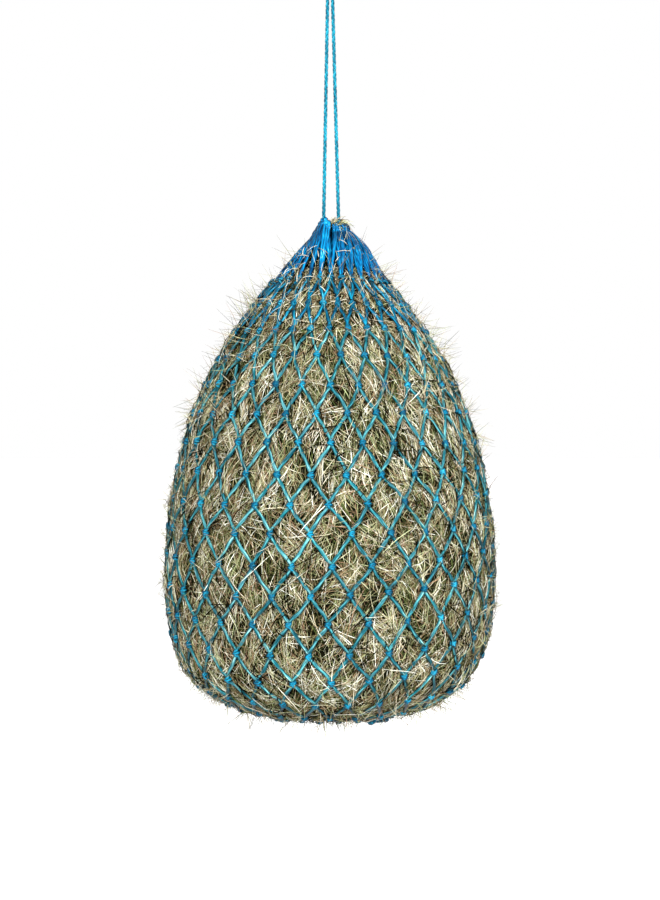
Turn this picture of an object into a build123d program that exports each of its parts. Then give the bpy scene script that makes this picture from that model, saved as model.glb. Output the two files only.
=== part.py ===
"""A filled hay net, hung from a screw hook. Millimetres, +Z up, the front faces -Y.

The origin is where the hook's shank enters the underside of a beam. The net is braided from one twine,
row by row: each row is a ring of V shaped loops that hang from their knots, and each knot is tied round
the bottom of a loop of the row above. The draw cord runs through the mouth loops, both of its ends rise
to one knot, and a bight of the same cord hangs over the hook. The hay inside is a stack of pressed wads.
"""

from build123d import *
import math
import os

# the net
meshes_around = 28
bar_length = 43.6  # from knot to knot
twine_r = 1.8
knot_r = 4.6
bend_r = 2.4  # the rounded turn at the bottom of a loop
knotted_rows = 19

# the outline of the filled net, as radius and height from the mouth: control points of a smooth curve
outline = [
    (26, -6),
    (40, -38),
    (100, -108),
    (147, -176),
    (187, -262),
    (211, -360),
    (221, -470),
    (213, -560),
    (183, -618),
    (118, -650),
    (20, -653),
]
first_row_depth = 81.0
front_bunching = 0.2  # the upper rows are drawn together towards the front
bunched_rows = 9
right_lift = 6.0  # the lower rows ride up on the right
lift_above_row = 7  # the lift grows from this row
lift_rows = 5  # over this many rows
sway_angle = 0.012  # how far the knots wander sideways, in radians
sway_slide = 1.6  # how far they wander up and down
sway_angle_turn = 1.3  # radians by which the wandering turns from one row to the next
sway_slide_turn = 2.1
quiet_row = 15  # below this row the knots slide less
quiet_share = 0.25

# the draw cord and the mouth
cord_r = 2.5
mouth_ring_r = 20.5
mouth_ring_depth = 8.0
strand_left_angle = -23.0  # where each strand leaves the ring, from the front, in degrees
strand_right_angle = 32.5
cord_turn_r = 6.0  # the tight turn from the ring up into a strand
eye_twine_r = 1.2  # the twine is pressed thin where it turns over a cord
eye_slack = 0.15
eye_room = 4.2  # degrees between the turn of the cord and the nearest eye
crossing_reach = 3.85  # outwards and down from the ring to where the legs of a loop cross
crossing_r = 2.8

# the base
base_ring_r = 19.0
base_ring_depth = 652.0
base_reach = 5.2  # outwards from the base ring to where the legs of a loop meet

# the hay
hay_gap = 6.6  # from the middle of the twine to the hay
crown_gap = 8.0
hay_neck_r = 11.0
hay_neck_depth = 8.0  # from the mouth ring down to the neck of the crown
tuft_tip_r = 8.0
tuft_shoulder = -4.0  # heights from the mouth
tuft_top = 2.0
wad_gap = 0.4
wad_rows = [1, 4, 7, 10, 13, 16]  # a new wad starts at each of these rows

# the hook, the loop and the knot, as heights in the part's own frame
rod_r = 4.0
shank_length = 36.0
shank_point = 8.0
shank_tip_r = 0.8
collar_r = 9.0
collar_thickness = 3.0
hook_bend_r = 18.0
hook_neck_r = 8.0
hook_bend_z = -34.0
hook_tip_angle = 25.0
hook_tip_r = 4.6
loop_slack = 0.5
strand_spacing = 2.7  # half of the distance between the two parts of the cord at the knot
loop_drop = 40.0
running_gap = 0.3
knot_width_r = 9.5
knot_height = 22.0
knot_edge_r = 6.5
mouth_z = -445.0

loop_z = hook_bend_z - hook_bend_r
rock_z = loop_z - loop_drop
knot_top = rock_z - cord_r - running_gap
knot_bottom = knot_top - knot_height
strand_top = knot_bottom - running_gap


def at(radius, angle, height):
    """A point on the net: angle from the front in radians, positive to the right, height from the mouth."""
    return Vector(radius * math.sin(angle), -radius * math.cos(angle), mouth_z + height)


def outline_at(t):
    """Radius and height on the outline, a quadratic B-spline, where t grows by 1 for each span."""
    span = min(int(t), len(outline) - 3)
    u = t - span
    weights = (0.5 * (1 - u) ** 2, 0.5 + u * (1 - u), 0.5 * u * u)
    points = outline[span : span + 3]
    radius = sum(w * p[0] for w, p in zip(weights, points))
    height = sum(w * p[1] for w, p in zip(weights, points))
    return radius, height


def row_places():
    """Where each row of knots lies along the outline, each one bar length from the row above."""
    step = 0.002
    half_pitch = math.pi / meshes_around
    t = 0.0
    while outline_at(t)[1] > -first_row_depth:
        t += step
    places = [t]
    while len(places) < knotted_rows:
        r0, z0 = outline_at(places[-1])
        t = places[-1]
        reach = 0.0
        while reach < bar_length:
            t += step
            r1, z1 = outline_at(t)
            reach = math.dist((r0, 0, z0), (r1 * math.cos(half_pitch), r1 * math.sin(half_pitch), z1))
        places.append(t)
    return places


places = row_places()
slope_step = 0.05  # a small part of a span of the outline
span_count = len(outline) - 2
outline_places = [slope_step * i for i in range(2, int(span_count / slope_step) - 1)]


def knot_point(row, k):
    """The middle of knot k of a row. Rows count from 1, and every second row is turned by half a mesh."""
    place = places[row - 1]
    phi = 2 * math.pi * (k + (0.0 if row % 2 else 0.5)) / meshes_around
    bunching = front_bunching * max(0.0, 1 - (row - 1) / bunched_rows)
    sway = sway_angle * math.sin(3 * phi + sway_angle_turn * row)
    angle = phi - bunching * math.sin(phi) + sway
    lift = right_lift * math.sin(phi) * min(max((row - lift_above_row) / lift_rows, 0.0), 1.0)
    slide = lift + sway_slide * math.sin(2 * phi + sway_slide_turn * row)
    fade = 1.0 if row <= quiet_row else quiet_share
    r0, z0 = outline_at(place - slope_step)
    r1, z1 = outline_at(place + slope_step)
    per_mm = 2 * slope_step / math.dist((r0, z0), (r1, z1))
    radius, height = outline_at(place - fade * slide * per_mm)
    return at(radius, angle, height)


def rod(start, end, radius):
    """A round bar from one point to another."""
    line = end - start
    return Solid.make_cylinder(radius, line.length, Plane(origin=start, z_dir=line))


def inward(point):
    """Square to the net at a point, into the hay."""
    height = point.Z - mouth_z
    radius = math.hypot(point.X, point.Y)
    nearest = min(outline_places, key=lambda t: math.dist(outline_at(t), (radius, height)))
    r0, z0 = outline_at(nearest - slope_step)
    r1, z1 = outline_at(nearest + slope_step)
    out = Vector(point.X, point.Y, 0).normalized()
    return (out * (z1 - z0) + Vector(0, 0, r0 - r1)).normalized()


def ball(centre, radius):
    """A ball whose seam faces into the hay and whose poles lie sideways, away from the bars it joins."""
    sideways = Vector(centre.Y, -centre.X, 0).normalized()
    return Solid.make_sphere(radius, Plane(origin=centre, x_dir=inward(centre), z_dir=sideways), -90, 90, 360)


def plain_ball(centre, radius):
    return Pos(centre) * Sphere(radius)


def eye(ring_r, angle, height):
    """The turn of a loop round a cord: a small ring of twine that the cord passes through."""
    centre = at(ring_r, angle, height)
    along = Vector(math.cos(angle), math.sin(angle), 0)
    turn_r = cord_r + eye_slack + eye_twine_r
    return Plane(origin=centre, z_dir=along) * Torus(turn_r, eye_twine_r)


def joined(pieces):
    """One solid from overlapping pieces."""
    return pieces[0].fuse(*pieces[1:])


def net_row(row):
    """A row of loops: its knots, and from each knot two bars down to the bends of its two loops."""
    pieces = []
    shift = 0 if row % 2 else 1
    for k in range(meshes_around):
        knot = knot_point(row, k)
        pieces.append(ball(knot, knot_r))
        right = knot_point(row + 1, k + shift)
        left = knot_point(row + 1, k + shift - 1)
        pieces.append(rod(knot, right, twine_r))
        pieces.append(rod(knot, left, twine_r))
        pieces.append(ball(right, bend_r))
    return joined(pieces)


def mouth_angles():
    """The angle of each eye on the draw cord, from the right strand round the back to the left one."""
    turn = math.degrees(cord_turn_r / mouth_ring_r) + eye_room
    first = strand_right_angle + turn
    last = 360 + strand_left_angle - turn
    gap = (last - first) / (meshes_around - 1)
    return [math.radians(first + gap * j) for j in range(meshes_around)]


def mouth_loops():
    """The long loops of the first round, each with its eye on the draw cord and its two legs."""
    pieces = []
    for j, angle in enumerate(mouth_angles()):
        crossing = at(mouth_ring_r + crossing_reach, angle, -mouth_ring_depth - crossing_reach)
        pieces.append(eye(mouth_ring_r, angle, -mouth_ring_depth))
        pieces.append(ball(crossing, crossing_r))
        pieces.append(rod(crossing, knot_point(1, j), twine_r))
        pieces.append(rod(crossing, knot_point(1, j + 1), twine_r))
        pieces.append(ball(knot_point(1, j), bend_r))
    return joined(pieces)


def base_loops():
    """The last row: its knots, and loops that close on the base cord."""
    pieces = []
    shift = 0 if knotted_rows % 2 else 1
    for k in range(meshes_around):
        angle = 2 * math.pi * (k + 0.5 * shift + 0.5) / meshes_around
        crossing = at(base_ring_r + base_reach, angle, -base_ring_depth)
        pieces.append(ball(knot_point(knotted_rows, k), knot_r))
        pieces.append(eye(base_ring_r, angle, -base_ring_depth))
        pieces.append(ball(crossing, bend_r))
        pieces.append(rod(knot_point(knotted_rows, k), crossing, twine_r))
        pieces.append(rod(knot_point(knotted_rows, k + 1), crossing, twine_r))
    return joined(pieces)


def tube(path, radius):
    """A round cord along a path."""
    section = Plane(origin=path @ 0, z_dir=path % 0) * Circle(radius)
    return sweep(section, path=path)


def draw_cord():
    """The cord through the mouth loops: round the back, with an upward turn at each end."""
    turn = cord_turn_r / mouth_ring_r
    right = math.radians(strand_right_angle) + turn
    left = math.radians(strand_left_angle) - turn
    ring_start = at(mouth_ring_r, right, -mouth_ring_depth)
    ring_end = at(mouth_ring_r, left, -mouth_ring_depth)
    back = at(mouth_ring_r, (right + left) / 2 + math.pi, -mouth_ring_depth)
    ring = ThreePointArc(ring_start, back, ring_end)
    up_right = TangentArc(ring_start, ring_start + turn_offset(right, -1), tangent=ring % 0 * -1)
    up_left = TangentArc(ring_end, ring_end + turn_offset(left, 1), tangent=ring % 1)
    print("draw cord radii", mouth_ring_r, "round the mouth and", cord_turn_r, "at each end")
    return tube(Wire([up_right.edge().reversed(), ring.edge(), up_left.edge()]), cord_r)


def turn_offset(angle, way):
    """From the ring to the top of its turn: one radius along the ring and one up."""
    return Vector(way * math.cos(angle), way * math.sin(angle), 1) * cord_turn_r


def strand(side, angle_degrees):
    """One taut part of the cord, from the top of its turn to the knot."""
    angle = math.radians(angle_degrees)
    turn = side * cord_turn_r / mouth_ring_r
    ring_end = at(mouth_ring_r, angle + turn, -mouth_ring_depth)
    foot = ring_end + turn_offset(angle + turn, -side)
    top = Vector(side * strand_spacing, 0, strand_top)
    print("strand", side, "length", round((top - foot).length, 1))
    return rod(foot, top, cord_r)


def hanging_loop():
    """The bight over the hook: two legs with round ends, and an arc round the hook's rod."""
    arc_r = rod_r + loop_slack + cord_r
    end = Vector(strand_spacing, 0, rock_z)
    reach = math.hypot(strand_spacing, loop_drop)
    lean = math.atan2(strand_spacing, loop_drop)
    touch = math.acos(arc_r / reach) + lean
    right = Vector(arc_r * math.sin(touch), 0, loop_z - arc_r * math.cos(touch))
    left = Vector(-right.X, 0, right.Z)
    over = ThreePointArc(left, (0, 0, loop_z + arc_r), right)
    path = Wire([Line((-end.X, 0, end.Z), left).edge(), over.edge(), Line(right, end).edge()])
    print("hanging loop radius", arc_r, "round the hook")
    pieces = [tube(path, cord_r), plain_ball(end, cord_r), plain_ball(Vector(-end.X, 0, end.Z), cord_r)]
    return joined(pieces)


def top_knot():
    """An overhand knot in the doubled cord, as one plain barrel."""
    barrel = Cylinder(knot_width_r, knot_height)
    barrel = fillet(barrel.edges().filter_by(GeomType.CIRCLE), knot_edge_r)
    return Pos(0, 0, (knot_top + knot_bottom) / 2) * barrel


def beam_hook():
    """A screw hook: shank with a point, collar, neck and open bend, all in the YZ plane."""
    rise = math.sqrt((hook_bend_r + hook_neck_r) ** 2 - hook_neck_r**2)
    neck_z = hook_bend_z + rise
    join_angle = math.atan2(rise, -hook_neck_r)
    start = Vector(0, 0, -collar_thickness)
    neck_start = Vector(0, 0, neck_z)
    join = hook_point(join_angle)
    bottom = hook_point(math.radians(270))
    tip = hook_point(math.radians(360 + hook_tip_angle))
    neck = TangentArc(neck_start, join, tangent=(0, 0, -1))
    bend = ThreePointArc(join, bottom, tip)
    path = Wire([Line(start, neck_start).edge(), neck.edge(), bend.edge()])
    shank = Pos(0, 0, shank_length / 2) * Cylinder(rod_r, shank_length)
    point_z = shank_length + shank_point / 2
    point = Pos(0, 0, point_z) * Cone(rod_r, shank_tip_r, shank_point)
    collar = Pos(0, 0, -collar_thickness / 2) * Cylinder(collar_r, collar_thickness)
    return joined([tube(path, rod_r), plain_ball(tip, hook_tip_r), collar, shank, point])


def hook_point(angle):
    """A point on the middle line of the hook's bend."""
    return Vector(0, hook_bend_r * math.cos(angle), hook_bend_z + hook_bend_r * math.sin(angle))


def hay_outline():
    """Radius and height of the hay's side at each row, inside the net, and at the middle of the base."""
    rows = [outline_at(place) for place in places]
    middle = (0.0, rows[-1][1])
    inner = []
    for i, (radius, height) in enumerate(rows):
        before = rows[max(i - 1, 0)]
        after = (rows + [middle])[i + 1]
        across = Vector(after[0] - before[0], after[1] - before[1]).normalized()
        gap = crown_gap if i == 0 else hay_gap
        inner.append((radius + across.Y * gap, height - across.X * gap))
    return inner


def turned(profile):
    """A solid of revolution about Z from its outline, given as radius and height from the mouth."""
    points = [(radius, 0, mouth_z + height) for radius, height in profile]
    face = make_face(Polyline(*points, close=True))
    return revolve(face, Axis.Z, 360)


def hay_wad(index):
    """One wad of the stack: its side follows the net, its top and bottom are flat."""
    side = hay_outline()
    first = wad_rows[index] - 1
    last = wad_rows[index + 1] if index + 1 < len(wad_rows) else len(side)
    part = side[first:last]
    if index + 1 < len(wad_rows):
        floor = part[-1][1] + wad_gap
        part = part[:-1] + [(part[-1][0], floor)]
    return turned([(0, part[0][1])] + part + [(0, part[-1][1])])


def hay_crown():
    """The hay that narrows into the mouth."""
    lowest = hay_outline()[0]
    top = -mouth_ring_depth - hay_neck_depth
    return turned([(0, top), (hay_neck_r, top), (lowest[0], lowest[1] + wad_gap), (0, lowest[1] + wad_gap)])


def hay_tuft():
    """The wisps that stand in the open mouth, inside the ring."""
    low = -mouth_ring_depth - hay_neck_depth + wad_gap
    shoulder = (hay_neck_r, tuft_shoulder)
    return turned([(0, low), (hay_neck_r, low), shoulder, (tuft_tip_r, tuft_top), (0, tuft_top)])


def save(name, shape):
    shape.label = name
    export_step(shape, os.path.join("parts", name + ".step"))
    print(name, "volume", round(shape.volume), "solids", len(shape.solids()))


def main():
    os.makedirs("parts", exist_ok=True)
    save("beam_hook", beam_hook())
    save("hanging_loop", hanging_loop())
    save("top_knot", top_knot())
    save("cord_strand_left", strand(-1, strand_left_angle))
    save("cord_strand_right", strand(1, strand_right_angle))
    save("draw_cord", draw_cord())
    save("mouth_loops", mouth_loops())
    for row in range(1, knotted_rows):
        save(f"net_row_{row:02d}", net_row(row))
    save("base_loops", base_loops())
    save("base_cord", Pos(0, 0, mouth_z - base_ring_depth) * Torus(base_ring_r, cord_r))
    save("hay_tuft", hay_tuft())
    save("hay_crown", hay_crown())
    for index in range(len(wad_rows)):
        save(f"hay_wad_{index + 1}", hay_wad(index))


main()
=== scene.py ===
"""A filled hay net, hung from a screw hook: its looks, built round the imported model.

Metres, +Z up, the front faces -Y, and the origin is where the hook's shank enters the beam. The twine, the
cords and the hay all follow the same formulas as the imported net, so each piece lies where its node does.
"""

import math

import bpy
import numpy as np
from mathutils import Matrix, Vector


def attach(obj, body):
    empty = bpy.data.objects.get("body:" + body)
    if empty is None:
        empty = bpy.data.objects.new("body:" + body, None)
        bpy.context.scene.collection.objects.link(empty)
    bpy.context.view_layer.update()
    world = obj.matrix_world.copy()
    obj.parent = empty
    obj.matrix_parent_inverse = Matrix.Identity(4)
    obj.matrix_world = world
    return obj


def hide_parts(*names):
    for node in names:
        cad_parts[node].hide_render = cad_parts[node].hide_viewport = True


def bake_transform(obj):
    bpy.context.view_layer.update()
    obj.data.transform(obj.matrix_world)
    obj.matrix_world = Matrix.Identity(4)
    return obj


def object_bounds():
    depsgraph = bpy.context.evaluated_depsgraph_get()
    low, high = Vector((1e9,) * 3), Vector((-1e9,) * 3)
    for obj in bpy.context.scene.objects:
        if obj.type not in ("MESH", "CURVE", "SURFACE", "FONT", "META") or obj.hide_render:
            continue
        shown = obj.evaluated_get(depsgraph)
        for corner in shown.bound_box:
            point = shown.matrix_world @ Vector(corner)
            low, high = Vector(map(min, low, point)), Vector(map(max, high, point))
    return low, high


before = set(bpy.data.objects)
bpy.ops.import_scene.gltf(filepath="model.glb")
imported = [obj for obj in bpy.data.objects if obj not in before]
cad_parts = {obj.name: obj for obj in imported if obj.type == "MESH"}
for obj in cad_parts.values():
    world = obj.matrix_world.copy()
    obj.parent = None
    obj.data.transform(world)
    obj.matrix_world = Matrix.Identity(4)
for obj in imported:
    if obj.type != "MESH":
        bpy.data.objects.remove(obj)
cad_low, cad_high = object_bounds()

MM = 0.001
random = np.random.default_rng(7)

# the net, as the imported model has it
MESHES = 28
BAR = 43.6 * MM
ROWS = 19
OUTLINE = MM * np.array(
    [
        (26, -6),
        (40, -38),
        (100, -108),
        (147, -176),
        (187, -262),
        (211, -360),
        (221, -470),
        (213, -560),
        (183, -618),
        (118, -650),
        (20, -653),
    ]
)
FIRST_ROW_DEPTH = 81 * MM
BASE_DEPTH = 655 * MM
NECK_START = (14 * MM, -6 * MM)  # radius and height where the neck of the net begins
FRONT_BUNCHING = 0.2  # the upper rows are drawn together towards the front
BUNCHED_ROWS = 9
RIGHT_LIFT = 6 * MM  # the lower rows ride up on the right
LIFT_ABOVE_ROW = 7
LIFT_ROWS = 5
SWAY_ANGLE = 0.012  # how far the knots wander sideways, in radians
SWAY_SLIDE = 1.6 * MM  # how far they wander up and down
SWAY_ANGLE_TURN = 1.3  # radians by which the wandering turns from one row to the next
SWAY_SLIDE_TURN = 2.1
QUIET_ROW = 15  # below this row the knots slide less
QUIET_SHARE = 0.25
MOUTH_Z = -445 * MM
PITCH = 2 * math.pi / MESHES

# the cords
CORD_R = 2.5 * MM
RING_R = 20.5 * MM
RING_DEPTH = 8 * MM
DRAWN_RING_R = 16.5 * MM  # the loops pull the ring in as tight as this
LEFT_SAG = 9 * MM  # the left side of the ring hangs lower
LEFT_ANGLE = math.radians(-23)
RIGHT_ANGLE = math.radians(32.5)
TURN_R = 6 * MM
BASE_RING_R = 19 * MM
BASE_RING_DEPTH = 652 * MM
STRAND_SPACING = 2.7 * MM
STRAND_TOP = -117.1 * MM
KNOT_TOP = -94.8 * MM
KNOT_BOTTOM = -116.8 * MM
LOOP_LOW = -92 * MM
ROD_Z = -52 * MM


# ---------------------------------------------------------------- small tools


def unit(v):
    return v / np.maximum(np.linalg.norm(v, axis=-1, keepdims=True), 1e-12)


def at(radius, angle, height):
    """A point from its radius, its angle from the front, which grows to the right, and its height."""
    return np.stack(
        np.broadcast_arrays(radius * np.sin(angle), -radius * np.cos(angle), MOUTH_Z + height), axis=-1
    )


def smooth(x, low, high):
    """0 below low, 1 above high, and a smooth step between them."""
    t = np.clip((x - low) / (high - low), 0, 1)
    return t * t * (3 - 2 * t)


def spaced(line, step):
    """The line again, with points about step apart."""
    along = np.concatenate([[0], np.cumsum(np.linalg.norm(np.diff(line, axis=0), axis=1))])
    places = np.linspace(0, along[-1], math.ceil(along[-1] / step) + 1)
    return np.stack([np.interp(places, along, line[:, i]) for i in range(3)], axis=1)


FIBRE_SHIFT = 0.37  # from tube to tube, so that no two have the same fibres
# painted shade: the lobes' grooves are painted darker and their ridges lighter
LOBE_GROOVE_SHADE = 2.6  # how much lighter the ridges between the lobes' grooves are


def sweep(lines, normals, width, depth, sides, twist=0.0, lobes=0, lobe=0.0, closed=False, tone=0.5):
    """Tubes along lines (n, m, 3). Width is the half width across the normals, depth the half thickness."""
    n, m, _ = lines.shape
    if closed:
        tangent = np.roll(lines, -1, axis=1) - np.roll(lines, 1, axis=1)
    else:
        tangent = np.gradient(lines, axis=1)
    tangent = unit(tangent)
    side = unit(np.cross(tangent, normals))
    up = np.cross(side, tangent)
    theta = 2 * math.pi * np.arange(sides) / sides
    width, depth, twist = (np.broadcast_to(x, (n, m))[..., None] for x in (width, depth, twist))
    swell = 1 + lobe * np.cos(lobes * (theta - twist))
    across = (width * swell * np.cos(theta))[..., None] * side[:, :, None]
    above = (depth * swell * np.sin(theta))[..., None] * up[:, :, None]
    verts = lines[:, :, None] + across + above
    rings = m if closed else m - 1
    a, b, c = np.meshgrid(np.arange(n), np.arange(rings), np.arange(sides), indexing="ij")
    here, beyond, turn = (a * m + b) * sides, (a * m + (b + 1) % m) * sides, (c + 1) % sides
    faces = [np.stack([here + c, beyond + c, beyond + turn, here + turn], -1).reshape(-1, 4)]
    if not closed:
        ring = np.arange(sides)
        first = (np.arange(n) * m * sides)[:, None]
        last = first + (m - 1) * sides
        faces += [first + ring, last + ring[::-1]]
    step = np.linalg.norm(np.diff(lines, axis=1), axis=2)
    along = np.concatenate([np.zeros((n, 1)), np.cumsum(step, axis=1)], axis=1)
    shape = (n, m, sides)
    shift = np.arange(n)[:, None, None] * FIBRE_SHIFT
    fibre = np.stack(np.broadcast_arrays(along[..., None], theta / (2 * math.pi), shift), axis=-1)
    tone = np.asarray(tone, float)
    # painted shade: the tone dips in the grooves between the lobes and rises on their ridges
    tone = tone.reshape(tone.shape + (1,) * (3 - tone.ndim)) + LOBE_GROOVE_SHADE * (swell - 1)
    return {
        "verts": verts.reshape(-1, 3),
        "faces": faces,
        "fibre": fibre.reshape(-1, 3),
        "tone": np.broadcast_to(tone, shape).reshape(-1),
    }


def build(name, parts, material):
    """One mesh object from the tubes and sheets in parts."""
    count, starts = 0, []
    for part in parts:
        starts.append(count)
        count += len(part["verts"])
    corners, totals = [], []
    for part, first in zip(parts, starts):
        for faces in part["faces"]:
            corners.append((faces + first).ravel())
            totals.append(np.full(len(faces), faces.shape[1]))
    corners, totals = np.concatenate(corners), np.concatenate(totals)
    mesh = bpy.data.meshes.new(name)
    mesh.vertices.add(count)
    mesh.vertices.foreach_set("co", np.concatenate([p["verts"] for p in parts]).astype(np.float32).ravel())
    mesh.loops.add(len(corners))
    mesh.loops.foreach_set("vertex_index", corners.astype(np.int32))
    mesh.polygons.add(len(totals))
    mesh.polygons.foreach_set("loop_start", np.concatenate([[0], np.cumsum(totals)[:-1]]).astype(np.int32))
    mesh.polygons.foreach_set("use_smooth", np.full(len(totals), True))
    mesh.update(calc_edges=True)
    fibre = mesh.attributes.new("fibre", "FLOAT_VECTOR", "POINT")
    fibre.data.foreach_set("vector", np.concatenate([p["fibre"] for p in parts]).astype(np.float32).ravel())
    tone = mesh.attributes.new("tone", "FLOAT", "POINT")
    tone.data.foreach_set("value", np.concatenate([p["tone"] for p in parts]).astype(np.float32))
    mesh.materials.append(material)
    obj = bpy.data.objects.new(name, mesh)
    bpy.context.scene.collection.objects.link(obj)
    return obj


def add_piece(name, parts, material, body, slot, *nodes):
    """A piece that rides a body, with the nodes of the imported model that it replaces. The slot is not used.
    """
    piece = build(name, parts, material)
    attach(piece, body)
    if nodes:
        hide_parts(*nodes)
    return piece


# ---------------------------------------------------------------- materials


WHITE = (1, 1, 1, 1)


def linear(r, g, b):
    """A colour given as 0 to 255, for a shader socket."""
    return (*(((c / 255 + 0.055) / 1.055) ** 2.4 if c > 10 else c / 255 / 12.92 for c in (r, g, b)), 1)


class Shader:
    """A Principled material and the nodes that feed it."""

    def __init__(self, name, **values):
        self.material = bpy.data.materials.new(name)
        self.material.use_nodes = True
        self.tree = self.material.node_tree
        self.principled = self.tree.nodes["Principled BSDF"]
        for socket, value in values.items():
            self.principled.inputs[socket.replace("_", " ")].default_value = value

    def node(self, kind, values=None, **settings):
        node = self.tree.nodes.new("ShaderNode" + kind)
        for key, value in settings.items():
            setattr(node, key, value)
        for key, value in (values or {}).items():
            if isinstance(value, bpy.types.NodeSocket):
                self.tree.links.new(value, node.inputs[key])
            else:
                node.inputs[key].default_value = value
        return node

    def attribute(self, name):
        return self.node("Attribute", attribute_name=name)

    def noise(self, vector, scale, detail=3.0, roughness=0.6):
        values = {"Vector": vector, "Scale": scale, "Detail": detail, "Roughness": roughness}
        return self.node("TexNoise", values).outputs["Fac"]

    def stretched(self, vector, scale):
        return self.node("Mapping", {"Vector": vector, "Scale": scale}).outputs["Vector"]

    def ramp(self, value, stops):
        node = self.node("ValToRGB", {"Fac": value})
        elements = node.color_ramp.elements
        while len(elements) < len(stops):
            elements.new(0.5)
        for element, (place, colour) in zip(elements, stops):
            element.position = place
            element.color = colour
        return node.outputs["Color"]

    def mix(self, factor, a, b, blend="MIX"):
        node = self.node("Mix", data_type="RGBA", blend_type=blend)
        for index, value in ((0, factor), (6, a), (7, b)):
            if isinstance(value, bpy.types.NodeSocket):
                self.tree.links.new(value, node.inputs[index])
            else:
                node.inputs[index].default_value = value
        return node.outputs[2]

    def span(self, value, low, high, start=0.0, end=1.0):
        values = {"Value": value, "From Min": start, "From Max": end, "To Min": low, "To Max": high}
        return self.node("MapRange", values).outputs["Result"]

    def feed(self, socket, value):
        self.tree.links.new(value, self.principled.inputs[socket])

    def bump(self, height, strength, distance):
        values = {"Height": height, "Strength": strength, "Distance": distance}
        self.feed("Normal", self.node("Bump", values).outputs["Normal"])


def twine_material(name, dark, middle, light, glint, roughness, sheen=1.16):
    """Synthetic twine: fine filaments along it, painted lighter where they stand proud up to a painted glint,
    with painted shade at the sides where the twine turns away.
    """
    shader = Shader(name, IOR=sheen)
    fibre = shader.attribute("fibre").outputs["Vector"]
    place = shader.node("NewGeometry").outputs["Position"]
    filaments = shader.noise(shader.stretched(fibre, (60, 9, 5)), 1.0, 4.0, 0.7)
    streaks = shader.noise(shader.stretched(fibre, (25, 2.6, 7)), 1.0, 2.0)
    patches = shader.noise(place, 22.0, 2.0)
    drawn = shader.mix(0.45, filaments, streaks)
    # painted highlight: the filament noise runs from dark to a pale glint colour, lighter where the bump
    # stands proud
    colour = shader.ramp(drawn, [(0.3, dark), (0.47, middle), (0.6, light), (0.72, glint)])
    worn = shader.ramp(patches, [(0.35, (0.58, 0.6, 0.62, 1)), (0.65, (1.0, 0.98, 0.96, 1))])
    colour = shader.mix(1.0, colour, worn, "MULTIPLY")
    # the tone differs at random from twine to twine and also carries the painted shade of the lobes' grooves
    tone = shader.attribute("tone").outputs["Fac"]
    shade = shader.ramp(tone, [(0.0, (0.25, 0.36, 0.4, 1)), (0.5, WHITE), (1.0, (1.9, 1.6, 1.45, 1))])
    colour = shader.mix(1.0, colour, shade, "MULTIPLY")
    # painted shade: the twine is painted nearly black at its sides, where it turns away, and a touch lighter
    # where it faces straight out
    facing = shader.node("LayerWeight", {"Blend": 0.5}).outputs["Facing"]
    painted_edge_shade = shader.ramp(
        facing, [(0.16, (1.1, 1.05, 1.0, 1)), (0.42, (0.36, 0.42, 0.42, 1)), (0.7, (0.01, 0.06, 0.07, 1))]
    )
    shader.feed("Base Color", shader.mix(1.0, colour, painted_edge_shade, "MULTIPLY"))
    shader.feed("Roughness", shader.span(filaments, roughness - 0.1, roughness + 0.14, 0.3, 0.7))
    shader.bump(filaments, 0.5, 0.4 * MM)
    return shader.material


def hay_material(name, stops, dim):
    """Dried stems and blades: each has its own tone, with fine ribs along it and darker flecks."""
    shader = Shader(name, IOR=1.04)
    fibre = shader.attribute("fibre").outputs["Vector"]
    tone = shader.attribute("tone").outputs["Fac"]
    ribs = shader.noise(shader.stretched(fibre, (35, 7, 11)), 1.0, 4.0, 0.65)
    flecks = shader.noise(shader.node("NewGeometry").outputs["Position"], 160.0, 3.0, 0.7)
    colour = shader.ramp(tone, stops)
    groove = (0.62 * dim, 0.64 * dim, 0.64 * dim, 1)
    ridge = (1.14 * dim, 1.2 * dim, 1.26 * dim, 1)
    lined = shader.ramp(ribs, [(0.3, groove), (0.62, ridge)])
    colour = shader.mix(1.0, colour, lined, "MULTIPLY")
    spots = shader.ramp(flecks, [(0.34, (0.55, 0.47, 0.36, 1)), (0.46, WHITE)])
    colour = shader.mix(0.7, colour, spots, "MULTIPLY")
    # painted shade: each stem is painted darker towards its edges, where it turns away
    facing = shader.node("LayerWeight", {"Blend": 0.5}).outputs["Facing"]
    shade = shader.ramp(facing, [(0.3, WHITE), (0.85, (0.2, 0.2, 0.16, 1))])
    shader.feed("Base Color", shader.mix(1.0, colour, shade, "MULTIPLY"))
    shader.feed("Roughness", shader.span(ribs, 0.6, 0.9, 0.3, 0.7))
    shader.bump(ribs, 0.4, 0.3 * MM)
    return shader.material


TWINE = twine_material(
    "net_twine",
    dark=linear(0, 20, 26),
    middle=linear(4, 76, 88),
    light=linear(76, 138, 146),
    glint=linear(200, 226, 224),
    roughness=0.34,
)
KNOT = twine_material(
    "knot_twine",
    dark=linear(0, 34, 50),
    middle=linear(0, 78, 108),
    light=linear(20, 118, 148),
    glint=linear(120, 190, 206),
    roughness=0.3,
)
MOUTH = twine_material(
    "mouth_twine",
    dark=linear(0, 24, 50),
    middle=linear(0, 78, 128),
    light=linear(0, 116, 168),
    glint=linear(110, 196, 220),
    roughness=0.26,
    sheen=1.17,
)
ROPE = twine_material(
    "cord_braid",
    dark=linear(0, 46, 62),
    middle=linear(6, 90, 114),
    light=linear(24, 124, 148),
    glint=linear(120, 190, 210),
    roughness=0.34,
)
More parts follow.
